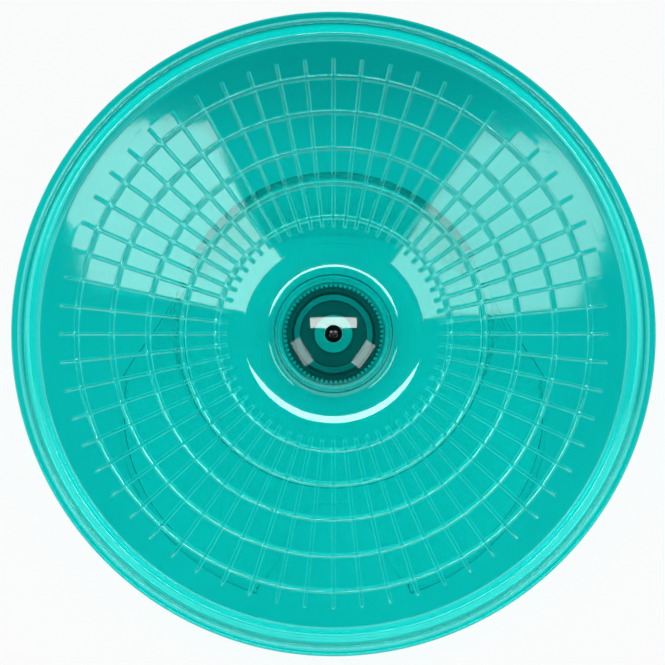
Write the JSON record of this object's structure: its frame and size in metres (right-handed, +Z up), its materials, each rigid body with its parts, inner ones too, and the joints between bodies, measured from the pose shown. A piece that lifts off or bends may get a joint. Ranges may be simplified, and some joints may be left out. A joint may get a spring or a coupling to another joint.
{
  "type": "flying saucer wheel",
  "caption": "Tilted saucer-shaped exercise wheel for small pets: a ribbed round dish that spins on a ball bearing above a bell-shaped footed base.",
  "frame": {"origin": "middle of the whole object's box, on the ground", "axes": "+Z up, +X to the right, -Y towards the low front edge of the dish; the axle leans 30 degrees from +Z towards -Y"},
  "size_m": [0.1906, 0.1654, 0.1242],
  "materials": {
    "saucer_plastic": "translucent teal, glossy",
    "base_plastic": "translucent teal, glossy",
    "black_plastic": "black, moulded",
    "seal_rubber": "black, smooth",
    "bearing_steel": "ground bearing steel",
    "plated_steel": "zinc plated",
    "cage_brass": "stamped",
    "white_nylon": "white, smooth",
    "black_steel": "black, satin"
  },
  "bodies": {
    "base": {"base_shell": "base_plastic", "spindle": "plated_steel", "spindle_nut": "plated_steel", "spindle_washer": "plated_steel", "bearing_spacer": "plated_steel", "bearing_inner_race": "bearing_steel", "clamp_washer": "white_nylon", "hub_screw": "black_steel"},
    "saucer_body": {"saucer": "saucer_plastic", "bearing_housing": "black_plastic", "bearing_outer_race": "bearing_steel", "bearing_seal_top": "seal_rubber", "bearing_seal_bottom": "seal_rubber"},
    "ball_set": {"bearing_cage": "cage_brass", "bearing_ball_1": "bearing_steel", "bearing_ball_2": "bearing_steel", "bearing_ball_3": "bearing_steel", "bearing_ball_4": "bearing_steel", "bearing_ball_5": "bearing_steel", "bearing_ball_6": "bearing_steel", "bearing_ball_7": "bearing_steel"}
  },
  "joints": [
    {"name": "saucer_spin", "type": "hinge", "parent": "base", "child": "saucer_body", "pos_m": [0, 0.01201, 0.05449], "axis": [0, -0.5, 0.866], "continuous": true},
    {"name": "ball_set_spin", "type": "hinge", "parent": "base", "child": "ball_set", "pos_m": [0, 0.01201, 0.05449], "axis": [0, -0.5, 0.866], "continuous": true}
  ],
  "couplings": [
    {"joint": "ball_set_spin", "follows": "saucer_spin", "ratio": 0.64883}
  ]
}
